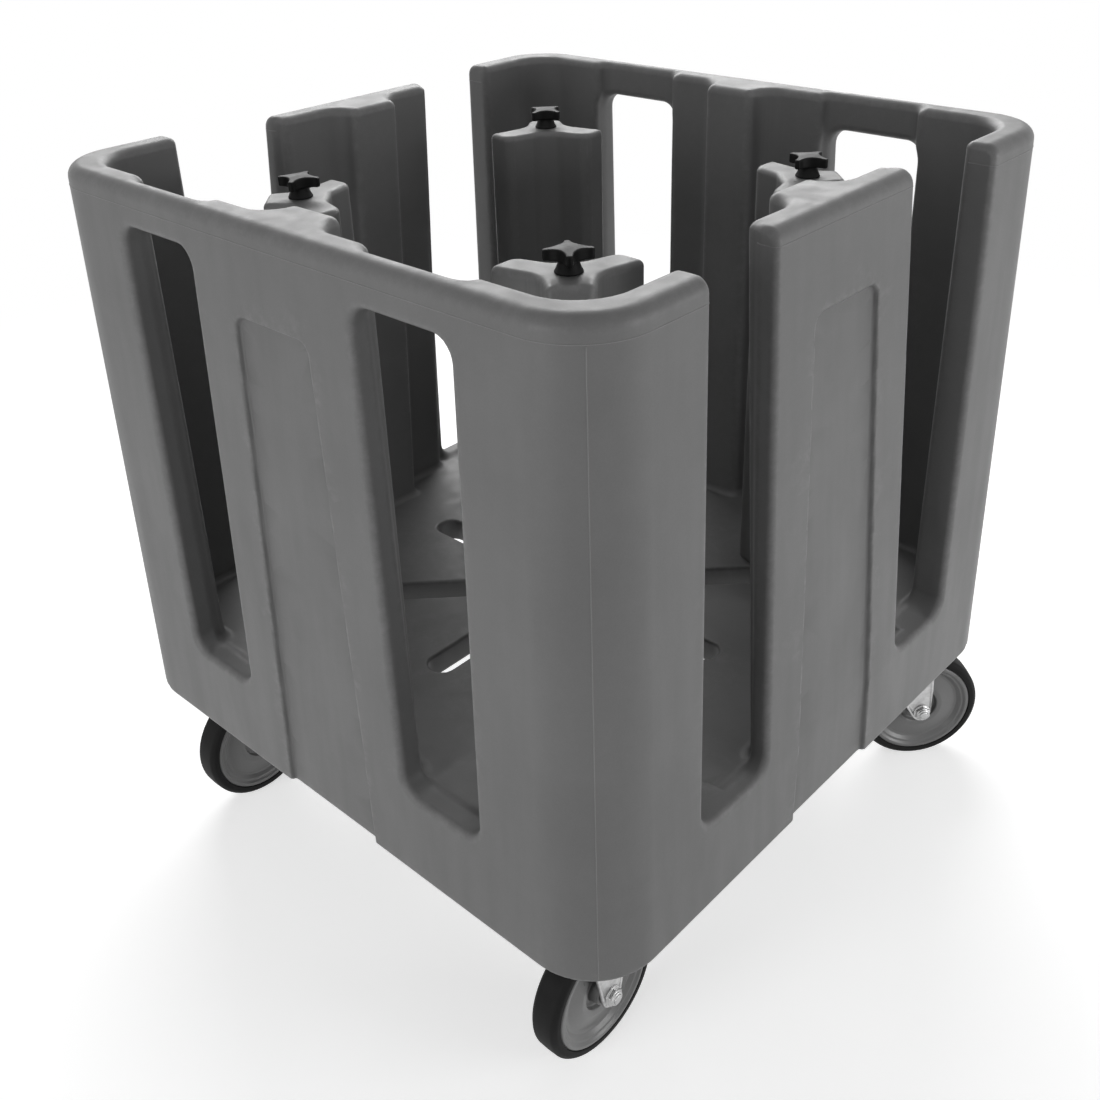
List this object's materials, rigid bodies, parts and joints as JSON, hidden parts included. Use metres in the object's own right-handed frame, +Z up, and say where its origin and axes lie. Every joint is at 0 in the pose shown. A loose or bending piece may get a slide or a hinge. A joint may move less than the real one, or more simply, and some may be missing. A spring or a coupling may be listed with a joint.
{
  "type": "plate dispenser cart",
  "caption": "Square moulded plate cart on casters, with tall slotted walls, inner fins and sliding corner towers that clamp with knobs to guide stacks of plates.",
  "frame": {"origin": "on the ground under the middle of the tub", "axes": "+Z up; front is -Y, the side with a bare panel; the two fixed casters are at -X and the two swivel casters at +X"},
  "size_m": [0.7446, 0.737, 0.81],
  "materials": {
    "moulded_grey": "matt, lightly pebbled rotational moulding",
    "tower_grey": "matt moulded plastic",
    "knob_black": "satin",
    "tyre_rubber": "matt",
    "hub_grey": "satin",
    "bush_black": "satin",
    "zinc_plated": "zinc plated and pressed",
    "bright_steel": "zinc plated"
  },
  "bodies": {
    "cart": {"body": "moulded_grey", "caster_bolts": "bright_steel", "fixed_bracket_front_left": "zinc_plated", "axle_bolt_front_left": "bright_steel", "axle_nut_front_left": "bright_steel", "swivel_plate_front_right": "zinc_plated", "king_pin_front_right": "bright_steel", "swivel_balls_front_right": "bright_steel", "swivel_plate_back_right": "zinc_plated", "king_pin_back_right": "bright_steel", "swivel_balls_back_right": "bright_steel", "fixed_bracket_back_left": "zinc_plated", "axle_bolt_back_left": "bright_steel", "axle_nut_back_left": "bright_steel"},
    "tower_front_left": {"tower_front_left": "tower_grey"},
    "knob_front_left": {"knob_front_left": "knob_black", "rod_front_left": "bright_steel"},
    "clamp_front_left": {"clamp_plate_front_left": "bright_steel", "clamp_nut_front_left": "bright_steel"},
    "wheel_front_left": {"wheel_hub_front_left": "hub_grey", "tyre_front_left": "tyre_rubber", "wheel_bush_front_left": "bush_black"},
    "tower_front_right": {"tower_front_right": "tower_grey"},
    "knob_front_right": {"knob_front_right": "knob_black", "rod_front_right": "bright_steel"},
    "clamp_front_right": {"clamp_plate_front_right": "bright_steel", "clamp_nut_front_right": "bright_steel"},
    "wheel_front_right": {"wheel_hub_front_right": "hub_grey", "tyre_front_right": "tyre_rubber", "wheel_bush_front_right": "bush_black"},
    "fork_front_right": {"swivel_fork_front_right": "zinc_plated", "axle_bolt_front_right": "bright_steel", "axle_nut_front_right": "bright_steel"},
    "tower_back_right": {"tower_back_right": "tower_grey"},
    "knob_back_right": {"knob_back_right": "knob_black", "rod_back_right": "bright_steel"},
    "clamp_back_right": {"clamp_plate_back_right": "bright_steel", "clamp_nut_back_right": "bright_steel"},
    "wheel_back_right": {"wheel_hub_back_right": "hub_grey", "tyre_back_right": "tyre_rubber", "wheel_bush_back_right": "bush_black"},
    "fork_back_right": {"swivel_fork_back_right": "zinc_plated", "axle_bolt_back_right": "bright_steel", "axle_nut_back_right": "bright_steel"},
    "tower_back_left": {"tower_back_left": "tower_grey"},
    "knob_back_left": {"knob_back_left": "knob_black", "rod_back_left": "bright_steel"},
    "clamp_back_left": {"clamp_plate_back_left": "bright_steel", "clamp_nut_back_left": "bright_steel"},
    "wheel_back_left": {"wheel_hub_back_left": "hub_grey", "tyre_back_left": "tyre_rubber", "wheel_bush_back_left": "bush_black"}
  },
  "joints": [
    {"name": "front_left_tower_slide", "type": "slide", "parent": "cart", "child": "tower_front_left", "axis": [-0.7071, -0.7071, 0], "range_m": [-0.14, 0.015]},
    {"name": "front_left_knob_turn", "type": "hinge", "parent": "tower_front_left", "child": "knob_front_left", "pos_m": [-0.18246, -0.18246, 0.762], "axis": [0, 0, 1], "range_deg": [0, 720]},
    {"name": "front_left_clamp_drop", "type": "slide", "parent": "tower_front_left", "child": "clamp_front_left", "axis": [0, 0, -1], "range_m": [0, 0.003]},
    {"name": "front_left_wheel_roll", "type": "hinge", "parent": "cart", "child": "wheel_front_left", "pos_m": [-0.281, -0.281, 0.075], "axis": [0, 1, 0], "continuous": true},
    {"name": "front_right_tower_slide", "type": "slide", "parent": "cart", "child": "tower_front_right", "axis": [0.7071, -0.7071, 0], "range_m": [-0.14, 0.015]},
    {"name": "front_right_knob_turn", "type": "hinge", "parent": "tower_front_right", "child": "knob_front_right", "pos_m": [0.18246, -0.18246, 0.762], "axis": [0, 0, 1], "range_deg": [0, 720]},
    {"name": "front_right_clamp_drop", "type": "slide", "parent": "tower_front_right", "child": "clamp_front_right", "axis": [0, 0, -1], "range_m": [0, 0.003]},
    {"name": "front_right_swivel", "type": "hinge", "parent": "cart", "child": "fork_front_right", "pos_m": [0.281, -0.281, 0.16], "axis": [0, 0, 1], "continuous": true},
    {"name": "front_right_wheel_roll", "type": "hinge", "parent": "fork_front_right", "child": "wheel_front_right", "pos_m": [0.31295, -0.30977, 0.075], "axis": [0.6691, 0.7431, 0], "continuous": true},
    {"name": "back_right_tower_slide", "type": "slide", "parent": "cart", "child": "tower_back_right", "axis": [0.7071, 0.7071, 0], "range_m": [-0.14, 0.015]},
    {"name": "back_right_knob_turn", "type": "hinge", "parent": "tower_back_right", "child": "knob_back_right", "pos_m": [0.18246, 0.18246, 0.762], "axis": [0, 0, 1], "range_deg": [0, 720]},
    {"name": "back_right_clamp_drop", "type": "slide", "parent": "tower_back_right", "child": "clamp_back_right", "axis": [0, 0, -1], "range_m": [0, 0.003]},
    {"name": "back_right_swivel", "type": "hinge", "parent": "cart", "child": "fork_back_right", "pos_m": [0.281, 0.281, 0.16], "axis": [0, 0, 1], "continuous": true},
    {"name": "back_right_wheel_roll", "type": "hinge", "parent": "fork_back_right", "child": "wheel_back_right", "pos_m": [0.24303, 0.30119, 0.075], "axis": [-0.4695, -0.8829, 0], "continuous": true},
    {"name": "back_left_tower_slide", "type": "slide", "parent": "cart", "child": "tower_back_left", "axis": [-0.7071, 0.7071, 0], "range_m": [-0.14, 0.015]},
    {"name": "back_left_knob_turn", "type": "hinge", "parent": "tower_back_left", "child": "knob_back_left", "pos_m": [-0.18246, 0.18246, 0.762], "axis": [0, 0, 1], "range_deg": [0, 720]},
    {"name": "back_left_clamp_drop", "type": "slide", "parent": "tower_back_left", "child": "clamp_back_left", "axis": [0, 0, -1], "range_m": [0, 0.003]},
    {"name": "back_left_wheel_roll", "type": "hinge", "parent": "cart", "child": "wheel_back_left", "pos_m": [-0.281, 0.281, 0.075], "axis": [0, 1, 0], "continuous": true}
  ],
  "couplings": [
    {"joint": "front_left_knob_turn", "follows": "front_left_clamp_drop", "rad_per_m": 4188.8},
    {"joint": "front_right_knob_turn", "follows": "front_right_clamp_drop", "rad_per_m": 4188.8},
    {"joint": "back_right_knob_turn", "follows": "back_right_clamp_drop", "rad_per_m": 4188.8},
    {"joint": "back_left_knob_turn", "follows": "back_left_clamp_drop", "rad_per_m": 4188.8}
  ]
}
